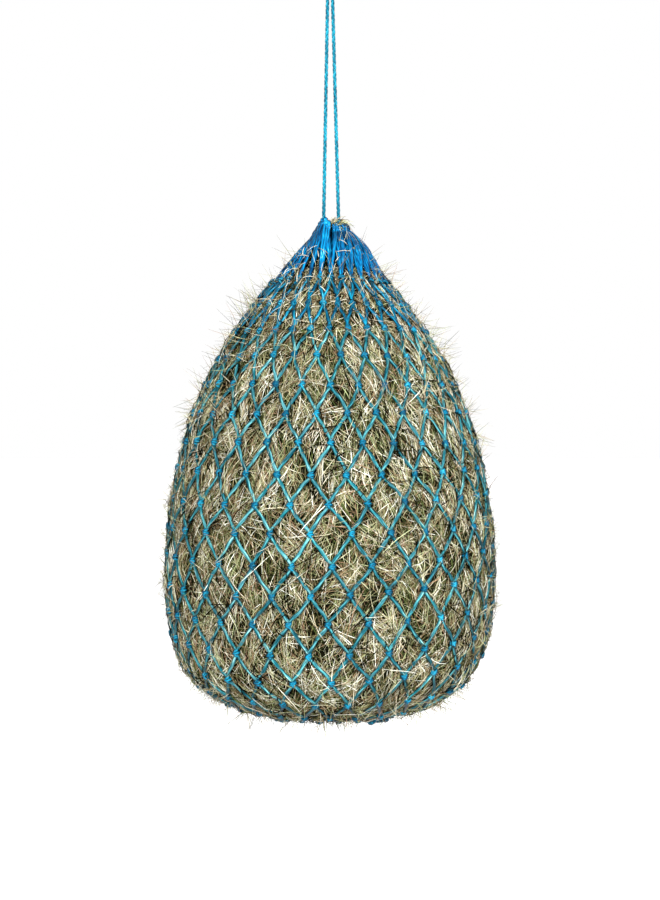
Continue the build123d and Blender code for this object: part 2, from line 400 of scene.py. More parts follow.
# the dark end of this ramp is reached mostly by the stems that the painted depth shade darkens
HAY = hay_material(
    "hay_stems",
    [
        (0.0, linear(8, 9, 3)),
        (0.16, linear(40, 34, 18)),
        (0.32, linear(80, 92, 48)),
        (0.46, linear(152, 118, 92)),
        (0.6, linear(166, 172, 122)),
        (0.76, linear(216, 202, 176)),
        (1.0, linear(244, 242, 226)),
    ],
    0.82,
)
# painted shade: the hay under the stems is coloured nearly black, standing in for the shade deep between them
PAINTED_SHADE_FILL = hay_material(
    "painted_shade_fill", [(0.0, linear(6, 8, 3)), (0.5, linear(14, 16, 7)), (1.0, linear(30, 28, 14))], 0.7
)


def steel_material():
    """Zinc plated steel: fine drawn lines, dull patches and a little dirt."""
    shader = Shader("zinc_steel", Metallic=1.0)
    place = shader.node("NewGeometry").outputs["Position"]
    patches = shader.noise(place, 90.0, 4.0)
    lines = shader.noise(shader.stretched(place, (900, 900, 60)), 1.0, 3.0)
    colour = shader.ramp(
        patches, [(0.3, linear(70, 70, 68)), (0.6, linear(112, 114, 114)), (0.8, linear(142, 144, 146))]
    )
    shader.feed("Base Color", colour)
    shader.feed("Roughness", shader.span(shader.mix(0.5, patches, lines), 0.24, 0.5, 0.3, 0.7))
    shader.bump(lines, 0.15, 0.1 * MM)
    return shader.material


STEEL = steel_material()


# ---------------------------------------------------------------- camera


CAMERA_LENS = 56.1
CAMERA_PLACE = (0, -1.9, -0.682)
CAMERA_TILT = math.radians(2.04)  # downwards

camera = bpy.data.objects.new("camera", bpy.data.cameras.new("camera"))
bpy.context.scene.collection.objects.link(camera)
camera.data.lens = CAMERA_LENS
camera.location = CAMERA_PLACE
camera.rotation_euler = (math.radians(90) - CAMERA_TILT, 0, 0)
bpy.context.scene.camera = camera


# ---------------------------------------------------------------- cords


def nurbs_line(points, closed=False):
    """The points along the NURBS spline of a cord's route."""
    curve = bpy.data.curves.new("route", "CURVE")
    curve.dimensions = "3D"
    curve.resolution_u = 16
    spline = curve.splines.new("NURBS")
    spline.points.add(len(points) - 1)
    for place, point in zip(spline.points, points):
        place.co = (*point, 1)
    spline.order_u = 3
    spline.use_endpoint_u = not closed
    spline.use_cyclic_u = closed
    carrier = bpy.data.objects.new("route", curve)
    mesh = bpy.data.meshes.new_from_object(carrier)
    line = np.array([v.co for v in mesh.vertices], float)
    bpy.data.objects.remove(carrier)
    bpy.data.meshes.remove(mesh)
    return np.concatenate([line, line[:1]]) if closed else line


def plait(line, radius, step=0.9 * MM):
    """A cord plaited from three strands, which cross from side to side in turn."""
    line = spaced(line, step)
    tangent = unit(np.gradient(line, axis=0))
    normal = np.array([0.0, 1.0, 0.0]) if abs(tangent[0][1]) < 0.7 else np.array([0.0, 0.0, 1.0])
    normals = []
    for t in tangent:
        normal = unit(normal - (normal @ t) * t)
        normals.append(normal)
    normals = np.array(normals)
    sideways = np.cross(tangent, normals)
    turn_length = 9.6 * radius
    along = 2 * math.pi * np.arange(len(line)) * step / turn_length
    lines, ways = [], []
    for i in range(3):
        phase = (along + 2 * math.pi * i / 3)[:, None]
        lines.append(line + radius * (0.5 * np.sin(phase) * sideways + 0.28 * np.sin(2 * phase) * normals))
        ways.append(normals)
    tone = np.array([0.72, 0.3, 0.5])
    return sweep(
        np.array(lines),
        np.array(ways),
        width=0.5 * radius,
        depth=0.44 * radius,
        sides=9,
        twist=along[None] * 1.5,
        lobes=3,
        lobe=0.1,
        tone=tone,
    )


def strand_route(side, angle):
    """A taut strand of the cord, from the top of its turn to the knot."""
    along_ring = angle + side * TURN_R / RING_R
    foot = at(RING_R, along_ring, -RING_DEPTH) + TURN_R * np.array(
        [-side * math.cos(along_ring), -side * math.sin(along_ring), 1]
    )
    top = np.array([side * STRAND_SPACING, 0, STRAND_TOP])
    near = 12 * CORD_R * unit(top - foot)
    return np.array([foot, foot + near, top - near, top])


def ring_height(angle):
    """The height of the draw cord's ring: the left side hangs lower."""
    return -RING_DEPTH + LEFT_SAG * np.minimum(np.sin(angle), 0)


def ring_route():
    """The draw cord: up, round the back of the mouth through its loops, and up again."""
    right = RIGHT_ANGLE + TURN_R / RING_R
    left = LEFT_ANGLE - TURN_R / RING_R + 2 * math.pi
    ends = []
    for angle, side in ((right, 1), (left, -1)):
        tangent = np.array([-side * math.cos(angle), -side * math.sin(angle), 0])
        corner = at(RING_R, angle, -RING_DEPTH) + TURN_R * tangent
        ends.append([corner, corner + (0, 0, TURN_R)])
    round_points = 14
    angles = right + (left - right) * (np.arange(round_points) + 0.5) / round_points
    ring = at(DRAWN_RING_R / math.cos((left - right) / round_points / 2), angles, ring_height(angles))
    return np.concatenate([[ends[0][1], ends[0][0]], ring, [ends[1][0], ends[1][1]]])


def knot_route(side):
    """One of the two cords in the knot: up the middle, nearly one and a half turns down, and up again."""
    x = side * STRAND_SPACING
    wrap_r = 6.6 * MM
    stack = side * 2.4 * MM
    turns = 1.4
    wrap = []
    for i in range(20):
        share = i / 19
        angle = math.radians(-50) + 2 * math.pi * turns * share
        height = KNOT_TOP - 5 * MM + stack - 12 * MM * share
        wrap.append((wrap_r * math.cos(angle), wrap_r * math.sin(angle), height))
    rise = [
        (x, 0, STRAND_TOP),
        (x, 0, KNOT_BOTTOM + 4 * MM),
        (0.8 * x, -2 * MM, KNOT_TOP - 9 * MM),
        (2 * MM, -4 * MM, KNOT_TOP - 4 * MM + stack / 2),
    ]
    end = [
        (-2 * MM, 3 * MM, KNOT_BOTTOM + 5 * MM + stack / 2),
        (x, 2 * MM, KNOT_BOTTOM + 12 * MM),
        (x, 0, KNOT_TOP - 3 * MM),
        (x, 0, LOOP_LOW - 1 * MM),
    ]
    return np.array(rise + wrap + end)


def loop_route():
    """The bight over the hook, from one side of the knot to the other."""
    x = STRAND_SPACING
    reach = 7 * MM
    return np.array(
        [
            (-x, 0, LOOP_LOW),
            (-reach, 0, ROD_Z),
            (-reach, 0, ROD_Z + reach),
            (reach, 0, ROD_Z + reach),
            (reach, 0, ROD_Z),
            (x, 0, LOOP_LOW),
        ]
    )


loop_cords = [plait(nurbs_line(loop_route()), CORD_R)]
hanging_loop = add_piece("cord_loop", loop_cords, ROPE, "loop", "draw_cord", "hanging_loop")

knot_cords = [plait(nurbs_line(knot_route(side)), 0.95 * CORD_R) for side in (-1, 1)]
knot = add_piece("cord_knot", knot_cords, ROPE, "knot", "draw_cord", "top_knot")

for name, side, angle in (("left", -1, LEFT_ANGLE), ("right", 1, RIGHT_ANGLE)):
    route = strand_route(side, angle)
    line = nurbs_line(route)
    strand = build("strand_" + name, [plait(line, CORD_R)], ROPE)
    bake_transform(strand)
    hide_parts("cord_strand_" + name)

add_piece("mouth_cord", [plait(nurbs_line(ring_route()), CORD_R)], ROPE, "net", "draw_cord", "draw_cord")

BASE_POINTS = 16
base_angles = 2 * math.pi * np.arange(BASE_POINTS) / BASE_POINTS
base_route = at(BASE_RING_R / math.cos(math.pi / BASE_POINTS), base_angles, -BASE_RING_DEPTH)
base_cords = [plait(nurbs_line(base_route, closed=True), CORD_R)]
add_piece("base_tie", base_cords, ROPE, "net", "draw_cord", "base_cord")


# ---------------------------------------------------------------- the surface of the net


OUTLINE_STEP = 0.002  # of a span
OUTLINE_END = 9.7  # past the last row of knots


def outline_at(t):
    """Radius and height at places t on the outline, a quadratic B-spline. T grows by 1 for each span."""
    span = np.clip(np.asarray(t).astype(int), 0, len(OUTLINE) - 3)
    u = (t - span)[..., None]
    before, middle, after = OUTLINE[span], OUTLINE[span + 1], OUTLINE[span + 2]
    return 0.5 * (1 - u) ** 2 * before + (0.5 + u * (1 - u)) * middle + 0.5 * u * u * after


def row_places(line):
    """The index on the line of each row of knots, each one bar length from the row above."""
    half_pitch = math.pi / MESHES
    found = [int(np.argmax(line[:, 1] <= -FIRST_ROW_DEPTH))]
    while len(found) < ROWS:
        radius, height = line[found[-1]]
        below = line[found[-1] + 1 :]
        reach = np.sqrt(
            (below[:, 0] * math.cos(half_pitch) - radius) ** 2
            + (below[:, 0] * math.sin(half_pitch)) ** 2
            + (below[:, 1] - height) ** 2
        )
        found.append(found[-1] + 1 + int(np.argmax(reach >= BAR)))
    return found


def profile():
    """The whole profile from the neck to the middle of the base: points, and the length to each row."""
    line = outline_at(np.arange(0, OUTLINE_END, OUTLINE_STEP))
    places = row_places(line)
    neck = np.linspace(NECK_START, line[places[0]], 60)[:-1]
    base = np.linspace(line[places[-1]], (0, -BASE_DEPTH), 60)[1:]
    points = np.concatenate([neck, line[places[0] : places[-1] + 1], base])
    length = np.concatenate([[0], np.cumsum(np.linalg.norm(np.diff(points, axis=0), axis=1))])
    rows = length[np.array(places) - places[0] + len(neck)]
    rows = np.concatenate([[0], rows, [length[-1]]])
    return points, length, rows


# rows count from 1 at the first row of knots. Row NECK is the neck, and row BASE the middle of the base.
NECK, BASE = -1, ROWS + 2
PROFILE, PROFILE_LENGTH, ROW_LENGTH = profile()
ROW_NUMBERS = np.array([NECK, *range(1, ROWS + 1), BASE], float)


def smoothed_slope():
    """The direction of the profile at each of its points, averaged over the points round it."""
    window = 41
    slope = np.pad(
        unit(np.gradient(PROFILE, PROFILE_LENGTH, axis=0)), ((window // 2, window // 2), (0, 0)), mode="edge"
    )
    kernel = np.ones(window) / window
    return unit(np.stack([np.convolve(slope[:, i], kernel, mode="valid") for i in range(2)], axis=1))


SLOPE = smoothed_slope()


def on_net(row, phi, out=0.0):
    """Points on the net at rows and angles, out metres off it, and the directions outward and down there."""
    row, phi = np.broadcast_arrays(np.asarray(row, float), np.asarray(phi, float))
    bunching = FRONT_BUNCHING * np.clip(1 - (row - 1) / BUNCHED_ROWS, 0, 1)
    angle = phi - bunching * np.sin(phi) + SWAY_ANGLE * np.sin(3 * phi + SWAY_ANGLE_TURN * row)
    lift = RIGHT_LIFT * np.sin(phi) * np.clip((row - LIFT_ABOVE_ROW) / LIFT_ROWS, 0, 1)
    slide = lift + SWAY_SLIDE * np.sin(2 * phi + SWAY_SLIDE_TURN * row)
    fade = np.clip(1 - (1 - QUIET_SHARE) * (row - QUIET_ROW), QUIET_SHARE, 1)
    fade = fade * smooth(row, NECK, 1) * (1 - smooth(row, ROWS, BASE))
    length = np.interp(row, ROW_NUMBERS, ROW_LENGTH) - fade * slide
    radius, height, along_r, along_z = (
        np.interp(length, PROFILE_LENGTH, column) for column in (*PROFILE.T, *SLOPE.T)
    )
    sine, cosine = np.sin(angle), np.cos(angle)
    outward = np.stack([-along_z * sine, along_z * cosine, along_r], axis=-1)
    down = np.stack([along_r * sine, -along_r * cosine, along_z], axis=-1)
    return at(radius, angle, height) + np.asarray(out)[..., None] * outward, outward, down


# ---------------------------------------------------------------- twine


TWINE_WIDTH = 2.3 * MM
TWINE_DEPTH = 1.85 * MM
TWINE_PROUD = 1.8 * MM
TWIST_LENGTH = 13 * MM
BIGHT_R = 1.9 * MM
BIGHT_POINTS = 5


def twisted(lines):
    """The turn of the lay along lines, in radians."""
    step = np.linalg.norm(np.diff(lines, axis=1), axis=2)
    along = np.concatenate([np.zeros((len(lines), 1)), np.cumsum(step, axis=1)], axis=1)
    return 2 * math.pi * along / TWIST_LENGTH


def twine(lines, normals, tone, closed=False, width=TWINE_WIDTH, depth=TWINE_DEPTH, sides=12):
    """Lengths of twisted twine with three lobes."""
    twist = twisted(lines)
    return sweep(lines, normals, width, depth, sides, twist, lobes=3, lobe=0.15, closed=closed, tone=tone)


def loops(row, q):
    """The V shaped loops from the knots of one row to the next: bar, bight in the lower knot, bar."""
    low, outward, down = on_net(row + 1, q * PITCH, TWINE_PROUD)
    sideways = np.cross(down, outward)
    halves = []
    bar_points = 13
    share = np.linspace(0, 1, bar_points)[None, :, None]
    for hand in (-1, 1):
        high, high_outward, high_down = on_net(row, (q + hand * 0.5) * PITCH, TWINE_PROUD)
        start = high + 1.5 * MM * high_down
        end = low + hand * BIGHT_R * sideways - 1.0 * MM * down
        bow = random.uniform(0.4, 2.6, (len(q), 1, 1)) * MM
        sway = random.uniform(-1.3, 1.3, (len(q), 1, 1)) * MM
        arc = np.sin(math.pi * share)
        mean = unit(high_outward + outward)[:, None]
        across = unit(np.cross(mean, (end - start)[:, None]))
        ripple = 0.5 * MM * np.sin(3 * math.pi * share + random.uniform(0, 6, (len(q), 1, 1))) * arc
        bar = start[:, None] + share * (end - start)[:, None]
        bar = bar + arc * (bow * mean + sway * across) + ripple * across
        facing = unit((1 - share) * high_outward[:, None] + share * outward[:, None])
        halves.append((bar, facing))
    turn = np.linspace(math.pi, 0, BIGHT_POINTS + 2)[None, 1:-1, None]
    bight = (
        low[:, None]
        + BIGHT_R * np.cos(turn) * sideways[:, None]
        + (1.6 * MM * np.sin(turn) + 0.6 * MM) * down[:, None]
    )
    bight = bight + 0.9 * MM * outward[:, None]
    (left, left_facing), (right, right_facing) = halves
    lines = np.concatenate([left, bight, right[:, ::-1]], axis=1)
    bight_facing = np.repeat(outward[:, None], BIGHT_POINTS, axis=1)
    facing = np.concatenate([left_facing, bight_facing, right_facing[:, ::-1]], axis=1)
    return lines, facing


# each turn of a knot: its place down from the middle, its half width and half depth in mm, and its tilt
WRAPS = ((-2.6, 3.2, 2.8, 0.45), (1.8, 3.0, 2.9, -0.6), (-0.4, 3.9, 3.2, 0.1))
WRAP_WIDTH = 1.7 * MM
WRAP_DEPTH = 1.6 * MM


def knot_turn(lines, facing, tone):
    """Closed turns of twine, as thin as they are where a knot is pulled tight."""
    return twine(lines, facing, tone, closed=True, width=WRAP_WIDTH, depth=WRAP_DEPTH, sides=8)


def wraps(row, q):
    """The turns of twine that close the knots of a row: two tilted rings and one that crosses the front."""
    middle, outward, down = on_net(row, q * PITCH, TWINE_PROUD + 0.4 * MM)
    sideways = np.cross(down, outward)
    ring_points = 14
    theta = 2 * math.pi * np.arange(ring_points) / ring_points
    parts = []
    for place, wide, deep, tilt in WRAPS:
        tilts = tilt + random.uniform(-0.4, 0.4, (len(q), 1))
        size = random.uniform(0.9, 1.08, (len(q), 1))
        x = wide * size * MM * np.cos(theta) * np.cos(tilts)
        y = deep * size * MM * np.sin(theta)
        z = place * MM + wide * size * MM * np.cos(theta) * np.sin(tilts)
        lines = (
            middle[:, None]
            + x[..., None] * sideways[:, None]
            + y[..., None] * outward[:, None]
            + z[..., None] * down[:, None]
        )
        facing = unit(lines - (middle[:, None] + z[..., None] * down[:, None]))
        tone = random.uniform(0.35, 0.75, len(q))
        parts.append(knot_turn(lines, facing, tone))
    return parts


def knot_numbers(row):
    """The places of a row's knots, in pitches from the front: every second row lies half a pitch over."""
    return np.arange(MESHES) + (0.0 if row % 2 else 0.5)


BLUE_ROWS = 2  # next to the mouth the bars are as blue as the knots

for row in range(1, ROWS):
    lines, facing = loops(row, knot_numbers(row + 1))
    tone = random.uniform(0.3, 0.7, len(lines))
    bars = [twine(lines, facing, tone)]
    material = TWINE if row > BLUE_ROWS else KNOT
    add_piece(f"loops_{row:02d}", bars, material, "net", "net_twine", f"net_row_{row:02d}")
    add_piece(f"knots_{row:02d}", wraps(row, knot_numbers(row)), KNOT, "net", "net_twine")


def last_loops():
    """The loops of the last row, which close on the base cord."""
    q = knot_numbers(ROWS)
    angle = (q + 0.5) * PITCH
    knot_a = on_net(ROWS, q * PITCH)[0]
    knot_b = np.roll(knot_a, -1, axis=0)
    tie_r = CORD_R + 1.3 * MM
    leg_points, eye_points = 6, 13
    eye = []
    for t in np.linspace(0, 2 * math.pi, eye_points):
        depth = BASE_RING_DEPTH + tie_r * math.sin(t) * 1.05
        eye.append(at(BASE_RING_R + tie_r * math.cos(t), angle, -depth))
    eye = np.array(eye).transpose(1, 0, 2)
    share = np.linspace(0, 1, leg_points + 1)[None, :-1, None]
    meet = at(BASE_RING_R + tie_r + 2.0 * MM, angle, -BASE_RING_DEPTH)
    first = knot_a[:, None] + share * (meet - knot_a)[:, None]
    last = knot_b[:, None] + share * (meet - knot_b)[:, None]
    line = np.concatenate([first, eye, last[:, ::-1]], axis=1)
    normal = np.broadcast_to(np.array([0.0, 0.0, -1.0]), line.shape).copy()
    centre = at(BASE_RING_R, angle, -BASE_RING_DEPTH)
    turned = slice(leg_points, leg_points + eye_points)
    normal[:, turned] = unit(line[:, turned] - centre[:, None])
    return twine(line, normal, random.uniform(0.3, 0.7, len(q)), width=1.8 * MM, depth=1.3 * MM, sides=8)


base_twines = [last_loops()] + wraps(ROWS, knot_numbers(ROWS))
add_piece("base_eyes", base_twines, TWINE, "net", "net_twine", "base_loops")


MOUTH_LAYERS = (0, 1, 2, 0.5, -0.6)  # how many twines each layer lies out from the cord
LEG_POINTS = 13
EYE_POINTS = 12


def hump(angle, middle, width):
    """A smooth hump, 1 at its middle. The middle is in degrees and the width in radians."""
    return np.exp(-(((angle - math.radians(middle)) / width) ** 2))


def mouth():
    """The loops round the mouth: over the draw cord and back under it, in layers, pressed together."""
    j = np.arange(MESHES)
    first, last = math.degrees(RIGHT_ANGLE) - 15, 360 + math.degrees(LEFT_ANGLE) + 14
    angle = np.radians(first + (last - first) * j / (MESHES - 1))
    parts = []
    horn = 10 * MM * hump(angle, 340, 0.62)  # the peak round the left strand
    lobe = 4 * MM * hump(angle, 60, 0.6)  # the round bulge on the right
    swollen = 9 * MM * hump(angle, 65, 0.8)
    for layer in MOUTH_LAYERS:
        spread = random.uniform(-0.06, 0.06, len(j)) + 0.05 * (layer - 1)
        top = ring_height(angle) + horn * (1 - 0.3 * layer) + random.uniform(-0.8, 1.2, len(j)) * MM
        ring = DRAWN_RING_R + lobe * (0.5 + 0.25 * layer) + 0.35 * horn
        eye_r = CORD_R + (1.2 + 1.3 * layer) * MM
        turn = np.linspace(-0.15 * math.pi, 1.25 * math.pi, EYE_POINTS)
        eye = np.stack(
            [at(ring + eye_r * math.cos(t), angle + spread, top + eye_r * math.sin(t)) for t in turn], axis=1
        )
        centre = at(ring, angle + spread, top)
        under = at(ring + 0.2 * eye_r, angle + spread, top - 1.15 * eye_r)
        ends = []
        for hand in (0, 1):
            low = on_net(1, (j + hand) * PITCH, TWINE_PROUD)[0]
            share = np.linspace(0, 1, LEG_POINTS + 1)[None, 1:, None]
            start = eye[:, 0] if hand == 0 else under
            arc = np.sin(math.pi * share**0.7)
            waist = at(1.0, angle, 0) * (1, 1, 0)
            lift = (random.uniform(-1.5, 2.5, (len(j), 1, 1)) + 1.2 * layer) * MM + swollen[:, None, None]
            across = unit(np.cross(waist, low - start))[:, None]
            sway = random.uniform(-1.5, 1.5, (len(j), 1, 1)) * MM
            leg = start[:, None] + share * (low - start)[:, None]
            ends.append(leg + arc * (lift * waist[:, None] + sway * across))
        line = np.concatenate([ends[0][:, ::-1], eye, under[:, None], ends[1]], axis=1)
        outward = unit(at(1.0, angle, 0) * (1, 1, 0) + (0, 0, 0.8))
        normal = np.broadcast_to(outward[:, None], line.shape).copy()
        turned = slice(LEG_POINTS, LEG_POINTS + EYE_POINTS)
        normal[:, turned] = unit(line[:, turned] - centre[:, None])
        fat = (2.0 + 0.5 * np.sin(math.pi * np.linspace(0, 1, line.shape[1]))) * MM
        tone = random.uniform(0.2, 0.62, len(j))
        # painted highlight: the two end loops, which fill the crease at the front, are made lighter
        tone[[0, -1]] = 0.9
        parts.append(twine(line, normal, tone, width=fat[None], depth=0.8 * fat[None], sides=10))
    return parts


add_piece("mouth_eyes", mouth(), MOUTH, "net", "net_twine", "mouth_loops")


SLACK_POINTS = 22
SLACK_LOOPS = 4
SLACK_KNOTS = 6


def slack(row, phi, reach):
    """A bunch of slack twine and knots that has ridden up on the foot of the net."""
    middle, outward, down = on_net(np.array([row]), np.array([phi]), TWINE_PROUD)
    sideways = np.cross(down, outward)
    turn = 2 * math.pi * np.arange(SLACK_POINTS) / SLACK_POINTS
    parts = []
    for _ in range(SLACK_LOOPS):
        size = random.uniform(0.35, 0.8)
        shift = random.uniform(-0.5, 0.5, 2)
        wave = random.uniform(0, 6, 3)
        across = reach * (shift[0] + size * np.cos(turn) + 0.16 * np.cos(3 * turn + wave[0]))
        along = reach * (0.7 * shift[1] + 0.6 * size * np.sin(turn) + 0.14 * np.sin(2 * turn + wave[1]))
        out = (3.4 + 2.2 * np.sin(2 * turn + wave[2])) * MM
        line = middle + across[:, None] * sideways + along[:, None] * down + out[:, None] * outward
        facing = np.repeat(outward[None], SLACK_POINTS, axis=1)
        parts.append(twine(line[None], facing, np.array([0.45]), closed=True))
    for _ in range(SLACK_KNOTS):
        place = random.uniform(-0.8, 0.8, 2) * reach
        centre = middle + place[0] * sideways + 0.6 * place[1] * down + 4 * MM * outward
        for tilt in (0.5, -0.7, 1.8):
            ring = np.cos(turn)[:, None] * (math.cos(tilt) * sideways + math.sin(tilt) * down)
            ring = ring + np.sin(turn)[:, None] * outward
            parts.append(knot_turn((centre + 2.9 * MM * ring)[None], ring[None], np.array([0.6])))
    return parts


left_slack = slack(18.3, math.radians(-42), reach=11 * MM)
right_slack = slack(18.1, math.radians(34), reach=17 * MM)
add_piece("base_slack", left_slack + right_slack, KNOT, "net", "net_twine")


# ---------------------------------------------------------------- hay


def bulging(row):
    """1 where the hay bulges through the meshes, 0 at the mouth and under the base."""
    return smooth(row, 0.2, 1.2) * (1 - smooth(row, ROWS - 0.5, ROWS + 1))


def pillow(row, q):
    """How far the hay stands out of the net: it swells through each mesh, most towards its foot, and dips
    under the twine, with a hollow below each knot."""
    a = np.mod((row + 2 * q - 1) / 2, 1)
    b = np.mod((row - 2 * q - 1) / 2, 1)
    swell = 16 * a * (1 - a) * b * (1 - b)
    size = 0.75 + 0.35 * np.sin(2.3 * np.floor((row + 2 * q - 1) / 2) + 1.7 * np.floor((row - 2 * q - 1) / 2))
    hollow = np.exp(-(((a + b) / 0.4) ** 2))
    return MM * (-4.8 + 9 * size * swell**0.6 * (0.5 + 0.4 * (a + b)) - 3 * hollow)


FILL_BELOW_STEMS = 2.6 * MM


def painted_shade_fill():
    """The body of the hay: one closed skin that bulges through the meshes, coloured nearly black as painted
    shade for the deep gaps between the stems.
    """
    across, finer = 12, 7
    rows = np.linspace(NECK, BASE, (BASE - NECK) * finer + 1)[:-1]
    q = np.arange(MESHES * across) / across
    row, turn = np.meshgrid(rows, q, indexing="ij")
    quiet = bulging(row)
    rough = np.sin(9.7 * row + 3 * turn) * np.sin(7.1 * turn - 2 * row) + np.sin(17 * row - 11 * turn)
    out = quiet * (pillow(row, turn) - FILL_BELOW_STEMS) - (1 - quiet) * 3.5 * MM + 0.72 * MM * rough
    points = on_net(row, turn * PITCH, out)[0]
    n, m = row.shape
    a, b = np.meshgrid(np.arange(n - 1), np.arange(m), indexing="ij")
    after = (b + 1) % m
    faces = np.stack([a * m + b, (a + 1) * m + b, (a + 1) * m + after, a * m + after], -1).reshape(-1, 4)
    ring = np.arange(m)[None]
    fibre = np.stack([row.ravel() * 0.03, turn.ravel() * 0.4, np.zeros(row.size)], axis=1)
    tone = 0.5 + 0.5 * np.sin(3.1 * row + 5.3 * turn) * np.sin(2.3 * turn - 4.1 * row)
    return {
        "verts": points.reshape(-1, 3),
        "faces": [faces, ring, (n - 1) * m + ring[:, ::-1]],
        "fibre": fibre,
        "tone": tone.ravel(),
    }


hay_nodes = ["hay_tuft", "hay_crown", *(f"hay_wad_{i}" for i in range(1, 7))]
fill = add_piece("hay_body", [painted_shade_fill()], PAINTED_SHADE_FILL, "net", "hay", *hay_nodes)


STEMS = 96000
WISPS = 12  # in a clump
STEM_POINTS = 5
STEM_PIECES = 16
BLADES = 0.05  # the share of the stems that are flat blades
UNDER_TWINE = 0.81  # the share of the stems that the twine holds in
IN_THE_NET = 0.85  # those and the ones that lie over the twine. The rest stick out.
STICKS_OUT = ([0.15, 0.2], [36, 19])  # the net's radius, and how many mm the stems stick out of it there
SIDE_ROOM = 20 * MM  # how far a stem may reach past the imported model's box
FOOT_ROOM = 29 * MM


def stems():
    """Curved stems and blades in clumps: most are held under the twine, some lie over it or stick out."""
    clumps = STEMS // WISPS
    row_area = np.interp(np.linspace(-0.1, 20.7, 800), ROW_NUMBERS, ROW_LENGTH)
    radius = np.interp(row_area, PROFILE_LENGTH, PROFILE[:, 0])
    weight = np.cumsum(radius * np.gradient(row_area))
    clump_length = np.interp(random.uniform(0, weight[-1], clumps), weight, row_area)
    clump_phi = random.uniform(0, 2 * math.pi, clumps)
    clump_way = random.normal(0.5 * math.pi, 0.75, clumps) + math.pi * (random.random(clumps) < 0.5)
    clump_bend = random.normal(0, 2.5, clumps)
    clump_tone = random.uniform(0.1, 0.9, clumps)
    clump_lift = (1.0 - 5.8 * random.random(clumps) ** 0.85) * MM

    def repeat(values):
        return np.repeat(values, WISPS)

    count = clumps * WISPS
    length0 = repeat(clump_length) + random.normal(0, 7, count) * MM
    radius0 = np.maximum(np.interp(length0, PROFILE_LENGTH, PROFILE[:, 0]), 12 * MM)
    phi0 = repeat(clump_phi) + random.normal(0, 7, count) * MM / radius0
    way = repeat(clump_way) + random.normal(0, 0.45, count)
    bend = repeat(clump_bend) + random.normal(0, 4.0, count)
    reach = np.clip(random.gamma(3.5, 10.0, count), 12, 90) * MM
    half = 0.5 * reach[:, None] * np.linspace(-1, 1, STEM_POINTS)[None]
    sideways = half * np.cos(way)[:, None] - bend[:, None] * half**2 * np.sin(way)[:, None]
    along = half * np.sin(way)[:, None] + bend[:, None] * half**2 * np.cos(way)[:, None]
    length = np.clip(length0[:, None] + along, 0.004, PROFILE_LENGTH[-1] - 0.002)
    phi = phi0[:, None] + sideways / radius0[:, None]
    row = np.interp(length, ROW_LENGTH, ROW_NUMBERS)
    q = phi / PITCH
    kind = random.random(count)[:, None]
    end = np.linspace(0, 1, STEM_POINTS)[None]
    quiet = bulging(row)
    skin = quiet * pillow(row, q) - (1 - quiet) * 5.5 * MM
    lift = repeat(clump_lift)[:, None] + random.uniform(-1.5, 1.5, (count, 1)) * MM
    stiff = 0.55 * skin + 0.45 * skin.mean(axis=1, keepdims=True)
    under = np.minimum(stiff + 1.4 * MM + 0.8 * lift, 9 * MM)
    over = random.uniform(4.5, 7, (count, 1)) * MM * np.sin(math.pi * end) ** 0.7 + 0.4 * skin
    most = np.interp(radius0, *STICKS_OUT)[:, None]
    patch = 0.5 + 0.5 * np.sin(2.7 * phi0 + 31 * length0) * np.sin(4.3 * phi0 - 17 * length0)
    out_reach = (1 + (0.4 + 0.9 * patch[:, None]) * most * random.random((count, 1)) ** 2.1) * MM
    tip = stiff + 1.0 * MM + out_reach * np.clip(2 * end - 0.9, 0, 2) ** 1.3
    out = np.where(kind < UNDER_TWINE, under, np.where(kind < IN_THE_NET, over, tip))
    points, outward, _ = on_net(row, phi, out)
    for axis, room in enumerate((SIDE_ROOM, SIDE_ROOM, FOOT_ROOM)):
        points[..., axis] = np.clip(points[..., axis], cad_low[axis] - room, cad_high[axis] + room)
    blade = random.random(count) < BLADES
    half_width = np.where(blade, random.uniform(0.6, 1.0, count), random.uniform(0.25, 0.5, count)) * MM
    half_width = half_width * (1 + 0.3 * np.clip(-repeat(clump_lift) / MM - 1, 0, 4))
    half_width = np.where(kind[:, 0] < IN_THE_NET, half_width, np.minimum(half_width, 0.32 * MM))
    thick = np.where(blade, 0.22 * MM, 0.9 * half_width)
    taper = np.clip(1.05 - np.abs(2 * end - 1) ** 3, 0.12, 1)
    # painted shade: the deeper a stem lies, the darker its tone, down to the dark end of the hay ramp; the
    # stems that stick out keep a fixed 0.75
    shade = np.clip(1.02 + 0.3 * lift[:, 0] / MM, 0.02, 1)
    shade = np.where(kind[:, 0] < IN_THE_NET, shade, 0.75)
    tone = np.clip(0.4 * repeat(clump_tone) + 0.42 + random.normal(0, 0.26, count), 0, 1) * shade
    lean = unit(outward + 0.5 * random.normal(0, 1, (count, 1, 3)))
    return points, lean, half_width[:, None] * taper, thick[:, None] * np.sqrt(taper), tone, length0


points, lean, wide, thick, tones, order = stems()
groups = np.array_split(np.argsort(order, kind="stable"), STEM_PIECES)
for index, chosen in enumerate(groups):
    part = sweep(points[chosen], lean[chosen], wide[chosen], thick[chosen], 3, tone=tones[chosen])
    part["fibre"][:, 2] *= 3.1
    add_piece(f"hay_stems_{index + 1:02d}", [part], HAY, "net", "hay")


